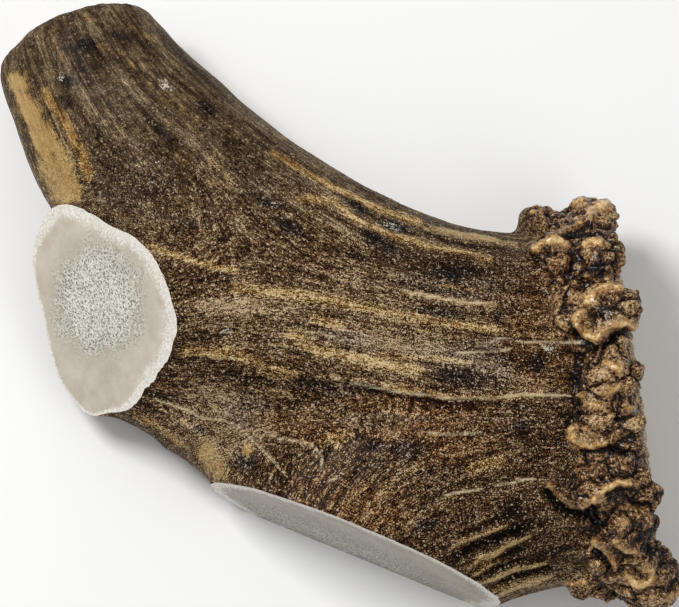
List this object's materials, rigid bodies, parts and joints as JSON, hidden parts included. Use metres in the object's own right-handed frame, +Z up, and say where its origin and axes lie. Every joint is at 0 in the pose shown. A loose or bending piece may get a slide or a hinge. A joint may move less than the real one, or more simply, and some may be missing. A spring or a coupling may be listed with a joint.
{
  "type": "split elk antler base",
  "caption": "Base section of an elk antler split lengthwise, with a knobbly burr, a curved beam and two sawn tine roots, lying on its flat split face. A dog chew.",
  "frame": {"origin": "under the middle of the bounding box, on the flat split face that the piece lies on", "axes": "+X along the longest extent, from the sawn beam to the burr; +Y from the sawn brow tine to the hollow side of the beam; +Z up from the split face"},
  "size_m": [0.17, 0.1544, 0.0544],
  "materials": {
    "antler_bark": "dark brown furrowed antler bark, tan on its ridges and knobs, with white bone where it is sawn"
  },
  "bodies": {
    "root": {"antler": "antler_bark"}
  },
  "joints": []
}
